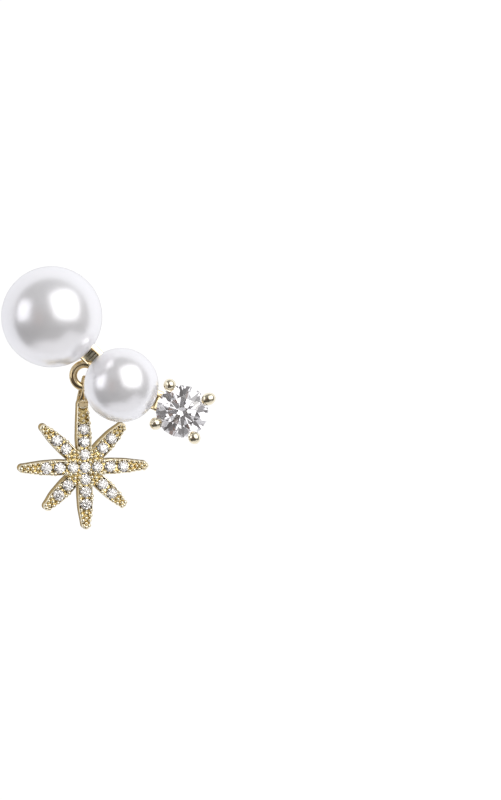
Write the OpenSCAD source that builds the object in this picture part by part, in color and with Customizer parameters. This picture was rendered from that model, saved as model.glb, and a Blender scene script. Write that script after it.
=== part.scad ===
// Ear climber: two pearls and a claw-set stone on one soldered bar, with a stone-set star that
// hangs free from a fixed ring. X points right as seen from the front, Z points up, and the
// front faces -Y. The origin is the root of the ear post, on the rear face behind the large
// pearl. Every place on the face is counted from that pearl's middle.

/* [Pearls] */
// Diameter of the large pearl
large_pearl_d = 10; // [9.4:0.1:10.4]
// Diameter of the small pearl
small_pearl_d = 7.36; // [6.9:0.02:7.6]
// How far the small pearl lies to the right
small_pearl_x = 6.86; // [6.6:0.02:7.2]
// How far the small pearl lies below
small_pearl_below = 6.74; // [6.5:0.02:7]
// Radius of the cup behind the large pearl
large_cup_r = 2.6; // [2:0.1:3]
// Radius of the cup behind the small pearl
small_cup_r = 1.7; // [1.4:0.1:1.8]
// Diameter of the pegs that hold the pearls
peg_d = 0.8; // [0.6:0.05:1]
// Length of a peg inside its pearl
peg_l = 3; // [2:0.1:3.2]

/* [Bar] */
// Width over both rims
bar_w = 2.05; // [1.9:0.05:2.2]
// Thickness at the rims
bar_t = 1.3; // [1.2:0.05:1.4]
// Thickness of the sunk floor between the rims
bar_floor_t = 0.7; // [0.5:0.05:0.9]
// Width of each rim
rim_w = 0.38; // [0.3:0.02:0.45]
// Radius of the round end behind the large pearl
bar_end_r = 1.8; // [1.5:0.1:2.2]

/* [Ear post] */
// Diameter of the post
post_d = 0.8; // [0.7:0.05:1]
// Length of the post behind the bar
post_l = 10; // [9:0.5:11]

/* [Main stone and basket] */
// Diameter of the main stone
stone_d = 5.2; // [5:0.05:5.3]
// How far the main stone lies to the right
stone_x = 12.85; // [12.6:0.05:13.1]
// How far the main stone lies below
stone_below = 9.35; // [9.1:0.05:9.6]
// Diameter of the ball on each claw
claw_ball_d = 1.14; // [1:0.02:1.2]
// Distance of the balls from the stone's axis
claw_ball_at = 2.93; // [2.85:0.01:3]
// Diameter of a claw's wire
claw_wire_d = 0.74; // [0.6:0.02:0.8]
// Angle of the first claw, counted from the right
claw_turn = 25; // [15:1:35]
// Half the outer side of the square gallery under the stone
gallery_half = 2.16; // [2.1:0.02:2.3]

/* [Ring] */
// How far the fixed ring lies to the right
ring_x = 3.18; // [3.12:0.02:3.22]
// How far the fixed ring lies below
ring_below = 5.8; // [5.75:0.05:5.9]
// Radius of the ring at the middle of its wire
ring_r = 1.16; // [1.14:0.01:1.18]
// Diameter of the ring's wire
ring_wire_d = 0.8; // [0.76:0.02:0.82]

/* [Star] */
// How far the star's centre lies to the right
star_x = 3.1; // [3.06:0.02:3.16]
// How far the star's centre lies below
star_below = 14.9; // [14.85:0.01:14.95]
// Lean of the star in its own plane
star_lean = 1.6; // [0.6:0.2:2.4]
// Turn of the star's face to the right
star_turn = 10; // [0:1:12]
// Length of the left arm
left_arm_l = 6.6; // [6.2:0.05:6.8]
// Length of the right arm
right_arm_l = 6.45; // [6.2:0.05:6.8]
// Length of the lower arm
low_arm_l = 6.2; // [5.9:0.05:6.5]
// Length of the upper left arm
upper_left_arm_l = 6; // [5.6:0.05:6.1]
// Length of the upper right arm
upper_right_arm_l = 5.9; // [5.6:0.05:6.1]
// Length of the lower left arm
lower_left_arm_l = 5.8; // [5.6:0.05:6.1]
// Length of the lower right arm
lower_right_arm_l = 5.65; // [5.6:0.05:6.1]
// How far the top of the bail stands to the right of the star's own upright
bail_aside = 0.22; // [0:0.02:0.26]
// Widest width of an arm
arm_w = 1.5; // [1.4:0.02:1.6]
// Thickness of the star at its centre
star_t = 1.5; // [1.4:0.05:1.6]
// How much lower the domed face lies at the tip of the left arm
dome_fall = 0.5; // [0.3:0.05:0.6]

/* [Star stones and grains] */
// Diameter of a small stone
small_stone_d = 1.12; // [1:0.02:1.14]
// Diameter of the grains of metal between the stones and over the tips
grain_d = 0.29; // [0.24:0.01:0.3]
// Distance between the grains along a tip
grain_pitch = 0.33; // [0.32:0.01:0.4]

/* [Hidden] */
$fn = 64;
fit_gap = 0.05;    // room between a pearl and its cup, and round the main stone
peg_gap = 0.05;    // room round a peg in its pearl
seat_gap = 0.03;   // room round a small stone in its seat
sink = 0.2;        // how far one soldered shape reaches into the next
through = 4;       // long enough to cut right through the star or its bail

// Heights on the face are counted from the rear face towards the front
cup_wall = 0.35;
cup_bed = bar_t + cup_wall;
cup_boss_r = 1.2;
cup_boss_h = bar_floor_t - sink;
large_pearl_r = large_pearl_d / 2;
small_pearl_r = small_pearl_d / 2;
large_at = [0, 0];
small_at = [small_pearl_x, -small_pearl_below];
stone_at = [stone_x, -stone_below];
ring_at = [ring_x, -ring_below];
ring_h = 0.9;

// A brilliant-cut stone's levels, as shares of its diameter, or of its girdle's radius
crown_share = 0.16;
girdle_share = 0.03;
pavilion_share = 0.43;
table_share = 0.56;
crown_ring_share = 0.78;
pavilion_ring_share = 0.24;
stone_sides = 8;

// Main stone and its basket
stone_r = stone_d / 2;
culet_h = bar_t + 0.2;
girdle_h = culet_h + pavilion_share * stone_d;
basket_end_r = 1.7;
claw_foot_at = 2.3;
claw_foot_h = bar_t + 0.2;
claw_knee_at = 2.84;
claw_ball_h = girdle_h + 0.42;
claw_lip_at = claw_ball_at - 0.5;
claw_lip_d = 0.6;
gallery_w = 0.45;
gallery_t = 0.5;
gallery_h = girdle_h - 1.28;
gallery_r = 2.8;
foot_half = 1.95;
foot_t = 0.55;
foot_r = 2.6;

// Star. An arm is widest at arm_belly from the centre, and narrows faster past arm_neck
star_back_h = ring_h - star_t / 2;
star_face_h = star_back_h + star_t;
arm_belly = 2.6;
arm_neck = 4.2;
dome_r = (left_arm_l * left_arm_l + dome_fall * dome_fall) / (2 * dome_fall);
slim_tip_r = 0.34;
top_tip_r = 0.54;
top_arm_l = 6.7;
seat_sink = 0.05;      // how far a small stone's girdle lies under the metal's face
grain_rise = 0.03;     // how far a grain's middle stands over the metal's face
grain_inset = 0.1;     // how far a grain's middle lies inside the arm's edge
tip_start = 0.64;      // distance of the first tip grains from the last stone
tip_end = 0.36;        // distance of the last tip grains from the tip
wide_tip = 0.42;       // half width from which a tip takes a middle row too
core_grain_at = [1.02, 1.58];
valley_grain_at = 1.72;

// Bail, in heights above the star's centre. Its hole is narrow over the ring's wire and wider
// below, and its front is slit
bail_hole_r = 0.56;
bail_play = 0.17;
bail_hole_top = star_below - ring_below - ring_r + ring_wire_d / 2 + bail_play;
bail_eye = bail_hole_top - bail_hole_r;
bail_belly_at = 7.3;
bail_belly_h = 0.65;
bail_belly_r = 0.89;
bail_wall = 0.36;
bail_crown_t = 0.62;
bail_crown_r = 0.6;
bail_crown_at = bail_hole_top + bail_crown_t - bail_crown_r;
bail_shoulder_at = bail_belly_at + 0.5;
bail_neck_at = bail_belly_at - 0.4;
bail_blend = 0.9;      // share of a round's radius at which a straight flank leaves it
bail_foot_at = 6;
bail_foot_t = 1;
bail_slit_h = 1.2;
// Columns: height above the star's centre, half the width there
bail_taper = [[bail_foot_at, 0.56], [6.7, 0.45], [7.6, 0.29], [8.3, 0.2], [9.3, 0.17]];
bail_slit = [[6.6, 0.22], [7.75, 0.05]];

// Arms of the star. Columns: angle from the right, length, first stone's distance from the
// centre, distance between stones, number of stones, radius of the tip, length left plain
arms = [
    [0, right_arm_l, 1.21, 1.33, 3, slim_tip_r, 0],
    [45, upper_right_arm_l, 2.62, 1.28, 2, slim_tip_r, 0],
    [90, top_arm_l, 1.26, 1.27, 3, top_tip_r, 0.8],
    [135, upper_left_arm_l, 2.62, 1.25, 2, slim_tip_r, 0],
    [180, left_arm_l, 1.21, 1.33, 3, slim_tip_r, 0],
    [225, lower_left_arm_l, 2.48, 1.36, 2, slim_tip_r, 0],
    [270, low_arm_l, 1.2, 1.24, 3, slim_tip_r, 0],
    [315, lower_right_arm_l, 2.46, 1.3, 2, slim_tip_r, 0]
];
arm_step = 360 / len(arms);
function arm_angle(a) = a[0];
function arm_length(a) = a[1];
function stone_dist(a, i) = a[2] + i * a[3];
function stone_count(a) = a[4];
function tip_r(a) = a[5];
function plain_end(a) = a[6];
function tip_first(a) = stone_dist(a, stone_count(a) - 1) + tip_start;
function tip_last(a) = arm_length(a) - plain_end(a) - tip_end;

// Half the width of an arm at a distance from the star's centre
function arm_half(a, d) = lookup(d, [
    [0, 0.4 * arm_w],
    [arm_belly, 0.5 * arm_w],
    [arm_neck, 0.45 * arm_w],
    [arm_length(a) - tip_r(a), tip_r(a)]
]);

// Where the small stones sit: angle and distance from the star's centre
small_stones = concat(
    [[0, 0]],
    [for (a = arms) for (i = [0 : stone_count(a) - 1]) [arm_angle(a), stone_dist(a, i)]]
);
function small_stone_name(i) = str("star_stone_", i < 9 ? "0" : "", i + 1);

// Where the grains sit: along and across an arm, in pairs between the stones and at the tip,
// and a middle row that lies between the pairs
function pair_places(a) = [for (i = [1 : stone_count(a) - 1])
    if (stone_dist(a, i) > arm_belly) stone_dist(a, i) - a[3] / 2];
function tip_places(a) = [for (d = [tip_first(a) : grain_pitch : tip_last(a)]) d];
function edge_grains(a) = [for (d = concat(pair_places(a), tip_places(a))) for (side = [-1, 1])
    [d, side * (arm_half(a, d) - grain_inset)]];
function middle_grains(a) = [for (d = tip_places(a))
    if (arm_half(a, d) > wide_tip && d + grain_pitch < tip_last(a)) [d + grain_pitch / 2, 0]];
function end_grain(a) = plain_end(a) > 0 ? [] : [[arm_length(a) - grain_inset, 0]];
function arm_grains(a) = concat(edge_grains(a), middle_grains(a), end_grain(a));

// Takes a shape drawn as seen from the front, X right, Y up and Z towards the viewer, to a
// place on the face
module at_face(place) {
    rotate([90, 0, 0])
    translate([place[0], place[1], 0])
    children();
}

// Hangs a shape that is drawn round the star's centre, with the star's turn and lean
module hang_star() {
    translate([star_x, -ring_h, -star_below])
    rotate([0, 0, star_turn])
    rotate([0, -star_lean, 0])
    translate([0, ring_h, 0])
    at_face([0, 0])
    children();
}

// Sets a shape on the star's domed face, square to it
module on_dome(angle, distance, across = 0, rise = 0) {
    translate([0, 0, star_face_h - dome_r])
    rotate([0, 0, angle])
    rotate([-asin(across / dome_r), asin(distance / dome_r), 0])
    translate([0, 0, dome_r + rise])
    children();
}

// Straight round rod between two points
module rod(from, to, d) {
    way = to - from;
    translate(from)
    rotate([0, acos(way[2] / norm(way)), atan2(way[1], way[0])])
    cylinder(h = norm(way), d = d);
}

// Corners of one level of a cut stone
function level(n, r, h, turn) = [for (i = [0 : n - 1])
    [r * cos(turn + i * 360 / n), r * sin(turn + i * 360 / n), h]];

// Round brilliant with its girdle's lower edge at height 0 and its table up
module brilliant(d) {
    r = d / 2;
    n = stone_sides;
    half = 180 / n;
    crown = crown_share * d;
    girdle = girdle_share * d;
    pavilion = pavilion_share * d;
    crown_ring_h = girdle + crown * (1 - crown_ring_share * cos(half)) / (1 - table_share);
    points = concat(
        level(n, table_share * r, girdle + crown, half),
        level(n, crown_ring_share * r, crown_ring_h, 0),
        level(2 * n, r, girdle, 0),
        level(2 * n, r, 0, 0),
        level(n, pavilion_ring_share * r, -pavilion * (1 - pavilion_ring_share * cos(half)), 0),
        [[0, 0, -pavilion]]
    );
    polyhedron(points, brilliant_faces(n));
}

// Corners by number, level by level: table, crown ring, girdle's two edges, pavilion ring, culet
function table_at(n, i) = (i + n) % n;
function crown_at(n, i) = n + (i + n) % n;
function upper_at(n, k) = 2 * n + (k + 2 * n) % (2 * n);
function lower_at(n, k) = 4 * n + (k + 2 * n) % (2 * n);
function pavilion_at(n, i) = 6 * n + (i + n) % n;
function brilliant_faces(n) = concat(
    [[for (i = [n - 1 : -1 : 0]) table_at(n, i)]],
    [for (i = [0 : n - 1]) [table_at(n, i), crown_at(n, i), table_at(n, i - 1)]],
    [for (i = [0 : n - 1])
        [table_at(n, i), crown_at(n, i + 1), upper_at(n, 2 * i + 1), crown_at(n, i)]],
    [for (i = [0 : n - 1]) [crown_at(n, i), upper_at(n, 2 * i + 1), upper_at(n, 2 * i)]],
    [for (i = [0 : n - 1]) [crown_at(n, i), upper_at(n, 2 * i), upper_at(n, 2 * i - 1)]],
    [for (k = [0 : 2 * n - 1])
        [upper_at(n, k), upper_at(n, k + 1), lower_at(n, k + 1), lower_at(n, k)]],
    [for (i = [0 : n - 1]) [pavilion_at(n, i), lower_at(n, 2 * i), lower_at(n, 2 * i + 1)]],
    [for (i = [0 : n - 1]) [pavilion_at(n, i), lower_at(n, 2 * i - 1), lower_at(n, 2 * i)]],
    [for (i = [0 : n - 1])
        [7 * n, pavilion_at(n, i), lower_at(n, 2 * i + 1), pavilion_at(n, i + 1)]]
);

// One run of the bar, and the channel sunk in it
module bar_run(from, to, w, low, high) {
    way = to - from;
    translate([from[0], from[1], low])
    rotate([0, 0, atan2(way[1], way[0])])
    translate([0, -w / 2, 0])
    cube([norm(way), w, high - low]);
}

module bar() {
    channel_w = bar_w - 2 * rim_w;
    difference() {
        union() {
            bar_run(large_at, small_at, bar_w, 0, bar_t);
            bar_run(small_at, stone_at, bar_w, 0, bar_t);
            cylinder(h = bar_t, r = bar_end_r);
            translate(small_at) cylinder(h = bar_t, d = bar_w);
            translate(stone_at) cylinder(h = bar_t, r = basket_end_r);
        }
        bar_run(large_at, small_at, channel_w, bar_floor_t, bar_t + sink);
        bar_run(small_at, stone_at, channel_w, bar_floor_t, bar_t + sink);
        translate([small_at[0], small_at[1], bar_floor_t]) cylinder(h = bar_t, d = channel_w);
    }
}

// Cup with its peg, for a pearl whose rear lies just over the cup's bed
module cup(pearl_r, cup_r) {
    pearl_h = cup_bed + fit_gap + pearl_r;
    translate([0, 0, cup_boss_h]) cylinder(h = cup_bed - fit_gap - cup_boss_h, r = cup_boss_r);
    translate([0, 0, cup_bed - cup_wall]) cylinder(h = cup_wall + fit_gap + peg_l, d = peg_d);
    difference() {
        intersection() {
            translate([0, 0, pearl_h]) sphere(r = pearl_r + fit_gap + cup_wall);
            translate([0, 0, bar_t]) cylinder(h = pearl_r, r = cup_r);
        }
        translate([0, 0, pearl_h]) sphere(r = pearl_r + fit_gap);
    }
}

module ring() {
    translate([ring_at[0], ring_at[1], ring_h])
    rotate_extrude()
    translate([ring_r, 0])
    circle(d = ring_wire_d);
}

module post() {
    r = post_d / 2;
    translate([0, 0, r - post_l]) {
        cylinder(h = post_l - r + sink, r = r);
        sphere(r = r);
    }
}

// Square frame with its corners cut round
module square_rail(half, w, corner_r, t) {
    linear_extrude(t)
    intersection() {
        difference() {
            square(2 * half, center = true);
            square(2 * (half - w), center = true);
        }
        circle(r = corner_r);
    }
}

module claw() {
    foot = [claw_foot_at, 0, claw_foot_h];
    knee = [claw_knee_at, 0, girdle_h];
    ball = [claw_ball_at, 0, claw_ball_h];
    lip = [claw_lip_at, 0, claw_ball_h];
    rod(foot, knee, claw_wire_d);
    rod(knee, ball, claw_wire_d);
    rod(ball, lip, claw_lip_d);
    translate(foot) sphere(d = claw_wire_d);
    translate(knee) sphere(d = claw_wire_d);
    translate(ball) sphere(d = claw_ball_d);
    translate(lip) sphere(d = claw_lip_d);
}

// Room that the main stone takes, with a gap all round
module stone_room() {
    r = stone_r + fit_gap;
    girdle = girdle_share * stone_d + fit_gap;
    crown = crown_share * stone_d;
    translate([0, 0, girdle_h]) {
        translate([0, 0, -pavilion_share * stone_d - fit_gap])
            cylinder(h = pavilion_share * stone_d, r1 = fit_gap, r2 = r);
        translate([0, 0, -fit_gap]) cylinder(h = girdle + fit_gap, r = r);
        translate([0, 0, girdle]) cylinder(h = crown, r1 = r, r2 = table_share * stone_r + fit_gap);
    }
}

module basket() {
    difference() {
        union() {
            rotate([0, 0, claw_turn + 45]) {
                translate([0, 0, bar_t - sink / 2]) square_rail(foot_half, gallery_w, foot_r, foot_t);
                translate([0, 0, gallery_h]) square_rail(gallery_half, gallery_w, gallery_r, gallery_t);
            }
            for (i = [0 : 3]) rotate([0, 0, claw_turn + 90 * i]) claw();
        }
        stone_room();
    }
}

// Flat outline of the star's arms
module star_outline() {
    for (a = arms) rotate([0, 0, arm_angle(a)]) {
        stations = [0, arm_belly, arm_neck, arm_length(a) - tip_r(a)];
        polygon(concat(
            [for (d = stations) [d, -arm_half(a, d)]],
            [for (i = [len(stations) - 1 : -1 : 0]) [stations[i], arm_half(a, stations[i])]]
        ));
        translate([arm_length(a) - tip_r(a), 0]) circle(r = tip_r(a));
    }
}

module small_seat() {
    r = small_stone_d / 2 + seat_gap;
    deep = pavilion_share * small_stone_d;
    translate([0, 0, -deep - seat_gap]) cylinder(h = deep, r1 = seat_gap, r2 = r);
    translate([0, 0, -seat_gap]) cylinder(h = deep, r = r);
}

// Bail and its hole seen from the side: 2D X is the height above the star's centre, 2D Y the
// depth
module bail_side() {
    belly_r = bail_belly_r + bail_wall;
    wide = bail_blend * belly_r;
    narrow = bail_blend * bail_crown_r;
    translate([bail_belly_at, bail_belly_h]) circle(r = belly_r);
    translate([bail_crown_at, ring_h]) circle(r = bail_crown_r);
    polygon([
        [bail_shoulder_at, bail_belly_h - wide],
        [bail_crown_at, ring_h - narrow],
        [bail_crown_at, ring_h + narrow],
        [bail_shoulder_at, bail_belly_h + wide]
    ]);
    polygon([
        [bail_neck_at, bail_belly_h - wide],
        [bail_neck_at, bail_belly_h + wide],
        [bail_foot_at, star_back_h + bail_foot_t],
        [bail_foot_at, star_back_h]
    ]);
}

module bail_hole_side() {
    translate([bail_eye, ring_h]) circle(r = bail_hole_r);
    translate([bail_belly_at, bail_belly_h]) circle(r = bail_belly_r);
    polygon([
        [bail_eye, ring_h - bail_hole_r],
        [bail_eye, ring_h + bail_hole_r],
        [bail_belly_at, bail_belly_h + bail_belly_r],
        [bail_belly_at, bail_belly_h - bail_belly_r]
    ]);
}

// Front view of the bail or its slit, from its half widths, leaning aside towards the top
function bail_middle(height) = bail_aside * (height - bail_foot_at) / (bail_crown_at - bail_foot_at);
function bail_outline(half_widths) = concat(
    [for (t = half_widths) [bail_middle(t[0]) + t[1], t[0]]],
    [for (i = [len(half_widths) - 1 : -1 : 0]) let (t = half_widths[i])
        [bail_middle(t[0]) - t[1], t[0]]]
);

module bail() {
    difference() {
        intersection() {
            rotate([90, 0, 90]) linear_extrude(through, center = true) difference() {
                bail_side();
                bail_hole_side();
            }
            linear_extrude(through, center = true) polygon(bail_outline(bail_taper));
        }
        translate([0, 0, bail_slit_h]) linear_extrude(through) polygon(bail_outline(bail_slit));
    }
}

module grains() {
    for (a = arms) {
        for (g = arm_grains(a)) on_dome(arm_angle(a), g[0], g[1], grain_rise) sphere(d = grain_d);
        on_dome(arm_angle(a) + arm_step / 2, valley_grain_at, 0, grain_rise) sphere(d = grain_d);
    }
    for (angle = [arm_step : 2 * arm_step : 360]) for (d = core_grain_at)
        on_dome(angle, d, 0, grain_rise) sphere(d = grain_d);
}

module climber_frame() {
    color("#d9c08a") {
        at_face([0, 0]) {
            bar();
            post();
            ring();
        }
        at_face(large_at) cup(large_pearl_r, large_cup_r);
        at_face(small_at) cup(small_pearl_r, small_cup_r);
        at_face(stone_at) basket();
    }
}

module pearl(r) {
    color("#f4f1ec")
    translate([0, 0, cup_bed + fit_gap]) difference() {
        translate([0, 0, r]) sphere(r = r);
        translate([0, 0, -sink]) cylinder(h = peg_l + 2 * sink, r = peg_d / 2 + peg_gap);
    }
}

module pearl_large() {
    at_face(large_at) pearl(large_pearl_r);
}

module pearl_small() {
    at_face(small_at) pearl(small_pearl_r);
}

module main_stone() {
    color("#e8ecf4")
    at_face(stone_at)
    translate([0, 0, girdle_h])
    rotate([0, 0, claw_turn])
    brilliant(stone_d);
}

module star_drop() {
    color("#d9b96e")
    hang_star() {
        difference() {
            union() {
                intersection() {
                    translate([0, 0, star_back_h]) linear_extrude(star_t + sink) star_outline();
                    translate([0, 0, star_face_h - dome_r]) sphere(r = dome_r);
                }
                grains();
            }
            for (s = small_stones) on_dome(s[0], s[1], 0, -seat_sink) small_seat();
        }
        bail();
    }
}

module small_stone(i) {
    color("#eef0f6")
    hang_star()
    on_dome(small_stones[i][0], small_stones[i][1], 0, -seat_sink)
    brilliant(small_stone_d);
}

climber_frame();
pearl_large();
pearl_small();
main_stone();
star_drop();
for (i = [0 : len(small_stones) - 1])
    small_stone(i);
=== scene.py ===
"""Ear climber: two pearls and a claw-set stone on one channelled bar, and a stone-set star that
hangs from a fixed ring. Sizes are in millimetres until a piece is placed, then in metres."""

import math
import random
from collections import namedtuple

import bmesh
import bpy
from mathutils import Matrix, Vector, noise


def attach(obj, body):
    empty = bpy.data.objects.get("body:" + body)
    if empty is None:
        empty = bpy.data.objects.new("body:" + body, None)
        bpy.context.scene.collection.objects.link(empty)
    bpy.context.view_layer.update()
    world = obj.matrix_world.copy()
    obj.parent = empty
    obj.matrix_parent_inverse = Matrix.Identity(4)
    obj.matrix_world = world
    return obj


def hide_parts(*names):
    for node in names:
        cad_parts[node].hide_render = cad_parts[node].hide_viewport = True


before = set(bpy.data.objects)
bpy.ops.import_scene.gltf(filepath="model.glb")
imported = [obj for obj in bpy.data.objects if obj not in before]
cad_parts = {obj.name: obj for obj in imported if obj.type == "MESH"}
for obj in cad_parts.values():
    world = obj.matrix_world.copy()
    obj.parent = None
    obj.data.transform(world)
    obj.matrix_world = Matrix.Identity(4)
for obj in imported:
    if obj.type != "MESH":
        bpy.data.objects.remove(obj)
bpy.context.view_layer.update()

# Pearls, their cups and pegs
FIT_GAP = 0.05
PEG_GAP = 0.05
LARGE_PEARL_R = 5.0
SMALL_PEARL_R = 3.68
SMALL_PEARL_AT = (6.86, -6.74)
BORE_SPARE = 0.2
BORE_CHAMFER = 0.06
LARGE_CUP_R = 2.6
SMALL_CUP_R = 1.7
CUP_WALL = 0.35
LIP_SHARE = 0.42
PEG_R = 0.4
PEG_L = 3.0
PEG_CHAMFER = 0.1
BOSS_R = 1.2
# How far soldered forms run into each other
LAP = 0.1

# Bar, with a channel between two rims
BAR_W = 2.05
BAR_T = 1.3
BAR_FLOOR_T = 0.7
LOW_RIM_W = 0.24
HIGH_RIM_W = 0.56
RIM_FALL = 0.17
CREST_W = 0.28
CREST_FALL = 0.06
CREST_R = 0.4
BACK_EDGE_R = 0.16
RIM_EDGE_R = 0.12
LOW_RIM_R = 0.11
HIGH_RIM_R = 0.07
FLOOR_EDGE_R = 0.05
FLOOR_WAVE = 0.012
SECTION_PITCH = 0.06
CUP_BED = BAR_T + CUP_WALL

# The stretch before the main stone where the channel is filled
FILLED_L = 2.75
FILL_SINK = 0.2
FILL_FALL = 0.14
FILL_STEP = 0.04

# Round pads of the bar, and the rim of the basket's pad
LARGE_PAD_R = 1.8
CORNER_PAD_R = BAR_W / 2 + 0.02
BASKET_PAD_R = 1.7
PAD_EDGE_R = 0.12
PAD_SUNK = 0.02
PAD_PROUD = 0.01
PAD_RIM_HALF = 0.19
PAD_RIM_LOW = 0.3
PAD_RIM_EDGES = [0.02, 0.02, 0.08, 0.08]

# Ear post
POST_R = 0.4
POST_L = 10.0
POST_FILLET = 0.22
POST_LAP = 0.2

# Main stone, claws and gallery
STONE_D = 5.2
STONE_AT = (12.85, -9.35)
GIRDLE_H = BAR_T + 0.2 + 0.43 * STONE_D
CLAW_TURN = 25
CLAW_WIRE_R = 0.37
CLAW_TAPER = 0.05
CLAW_BALL_R = 0.61
CLAW_BALL_AT = 2.88
CLAW_BALL_H = GIRDLE_H + 0.42
# How much longer than round each claw's ball is pressed, the right one first
BALL_STRETCH = (1.22, 1.04, 1.0, 1.05)
BALL_TALL = 0.97
NOSE_R = 0.36
NOSE_TALL = 0.85
NOSE_IN = 0.34
NOSE_DROP = 0.06
# Bends of a claw's wire: distance from the stone's axis, height
CLAW_BENDS = [(2.3, 1.4), (2.45, 2.2), (2.66, 3.0), (2.84, 3.62), (2.93, CLAW_BALL_H)]
# Square rails of the gallery: half width, wire's width, corner radius, height, thickness
GALLERY = [(1.95, 0.45, 0.5, BAR_T - 0.1, 0.55), (2.16, 0.45, 0.6, GIRDLE_H - 1.28, 0.5)]
RAIL_EDGE_R = 0.11

# Fixed ring
RING_AT = (3.18, -5.8)
RING_H = 0.9
RING_R = 1.16
RING_WIRE_R = 0.4

# Star
STAR_AT = (3.1, -14.9)
STAR_TURN = 10
STAR_LEAN = 1.6
STAR_BACK_H = 0.15
STAR_FACE_H = 1.65
DOME_R = 43.81
# The cast walls lean: the back outline lies this far aside of the face's
BACK_ASIDE = (-0.05, 0.15)

# Arms of the star, whose neighbours part along a line half way between them
ARM_W = 1.5
ARM_BELLY = 2.6
ARM_NECK = 4.2
# Half an arm's width against its full one: at the centre, the belly and the neck
ROOT_SHARE, BELLY_SHARE, NECK_SHARE = 0.4, 0.5, 0.45
BEND_EASE = 0.15
VALLEY_SLOPE = math.tan(math.radians(22.5))

# Sunk, hammered bed of an arm
BEVEL = 0.13
BED_DEEP = 0.17
BED_UNEVEN = 0.07
BED_EDGE = (0.09, 0.2)
# The bed's darker gold, a painted shade of the recess, starts where it is this deep
BED_SHOWS = 0.06
HAMMER_MARKS = 4.2
# The bed rises to the plain stretch from this far before it to this far before it
PLAIN_FADE = (0.25, 0.05)

# Cone seats of the small stones: how wide, sunk, deep and steep, and the depth half way down
SEAT_R = 0.59
SEAT_SINK = 0.05
SEAT_DEEP = 0.6
SEAT_STEEP = 1.04
SEAT_MIDDLE = 0.3
# Only seats nearer than this are looked at
SEAT_REACH = 0.75

# Beads: the usual radius, sizes against it, and places
GRAIN_R = 0.2
PAIR_GRAIN = 1.15
PLAIN_GRAIN = 1.0
MIDDLE_GRAIN = 0.9
GRAIN_SIZES = (0.86, 1.14)
GRAIN_TALL = (0.95, 1.15)
GRAIN_SHIFT = 0.02
GRAIN_RISE = 0.09
GRAIN_INSET = 0.15
GRAIN_ASIDE = 0.13
GRAIN_PITCH = 0.5
END_GRAIN_R = 0.24
END_GRAIN_TALL = 0.95
PRONG_OFF = 0.2
TIP_START = 0.58
TIP_END = 0.3
# Beads over the core: angle off the slanting arms' lines, distance
CORE_GRAINS = [(0, 0.74), (13, 1.18), (-13, 1.18), (0, 1.5), (10.5, 1.93), (-10.5, 1.93),
               (21, 1.62), (-21, 1.62)]

# Bail, in heights above the star's centre
EYE_AT = 7.95
EYE_R = 0.56
BELLY_AT = 7.3
BELLY_H = 0.65
BELLY_R = 0.89
BAIL_WALL = 0.36
CROWN_AT = 8.53
CROWN_R = 0.6
# A place inside the hole, seen from the side: height, depth
BAIL_MIDDLE = (BELLY_AT + 0.2, 0.72)
BAIL_ASIDE = 0.22
BAIL_FOOT = 6.0
BAIL_FOOT_R = 0.5
# Section of the strip: 1 would be round and 0 square
BAIL_SQUARE = 0.6
# A face that looks this much to the left gets the walls' darker gold, a painted shade
BAIL_SHADED = -0.6
# Half the strip's width by height
BAIL_TAPER = [(6.0, 0.56), (6.7, 0.45), (7.6, 0.29), (8.3, 0.2), (9.3, 0.17)]
# Outline of the slit: to the side, height
SLIT = [(-0.2, 6.62), (0, 6.56), (0.2, 6.62), (0.12, 7.2), (0.05, 7.72), (0, 7.76),
        (-0.05, 7.72), (-0.12, 7.2)]
SLIT_FROM, SLIT_TO = 1.2, 2.6

# Distance of the first stone, pitch and number of the stones, radius of the tip, and the
# length left plain at the end
Arm = namedtuple("Arm", "angle length first pitch stones tip plain")
ARMS = [
    Arm(0, 6.45, 1.21, 1.33, 3, 0.4, 0),
    Arm(45, 5.9, 2.62, 1.28, 2, 0.4, 0),
    Arm(90, 6.7, 1.26, 1.27, 3, 0.54, 0.8),
    Arm(135, 6.0, 2.62, 1.25, 2, 0.4, 0),
    Arm(180, 6.6, 1.21, 1.33, 3, 0.4, 0),
    Arm(225, 5.8, 2.48, 1.36, 2, 0.4, 0),
    Arm(270, 6.2, 1.2, 1.24, 3, 0.4, 0),
    Arm(315, 5.65, 2.46, 1.3, 2, 0.4, 0),
]

MM = Matrix.Scale(0.001, 4)
# In metres: points closer than this are one, and shorter edges go
WELD = 2e-8
SLIVER = 1e-8
CREASE = math.radians(38)


def turn(degrees, axis):
    return Matrix.Rotation(math.radians(degrees), 4, axis)


def move(x, y, z):
    return Matrix.Translation((x, y, z))


def at_face(place):
    """From a shape drawn as seen from the front, with its third number the height towards
    the viewer, to its place on the earring."""
    return MM @ turn(90, "X") @ move(place[0], place[1], 0)


HANG_STAR = (MM @ move(STAR_AT[0], -RING_H, STAR_AT[1]) @ turn(STAR_TURN, "Z")
             @ turn(-STAR_LEAN, "Y") @ move(0, RING_H, 0) @ turn(90, "X"))


def on_dome(angle, distance, across=0.0, rise=0.0):
    """A place on the star's domed face, square to it."""
    tilt = turn(math.degrees(math.asin(distance / DOME_R)), "Y")
    roll = turn(-math.degrees(math.asin(across / DOME_R)), "X")
    return (move(0, 0, STAR_FACE_H - DOME_R) @ turn(angle, "Z") @ tilt @ roll
            @ move(0, 0, DOME_R + rise))


def lookup(x, table):
    """Reads a short table of (x, y) rows, straight between them."""
    if x <= table[0][0]:
        return table[0][1]
    for (x0, y0), (x1, y1) in zip(table, table[1:]):
        if x <= x1:
            return y0 + (y1 - y0) * (x - x0) / (x1 - x0)
    return table[-1][1]


def smooth(x, low, high):
    """Eases from 0 at low to 1 at high."""
    t = min(1, max(0, (x - low) / (high - low)))
    return t * t * (3 - 2 * t)


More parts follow.
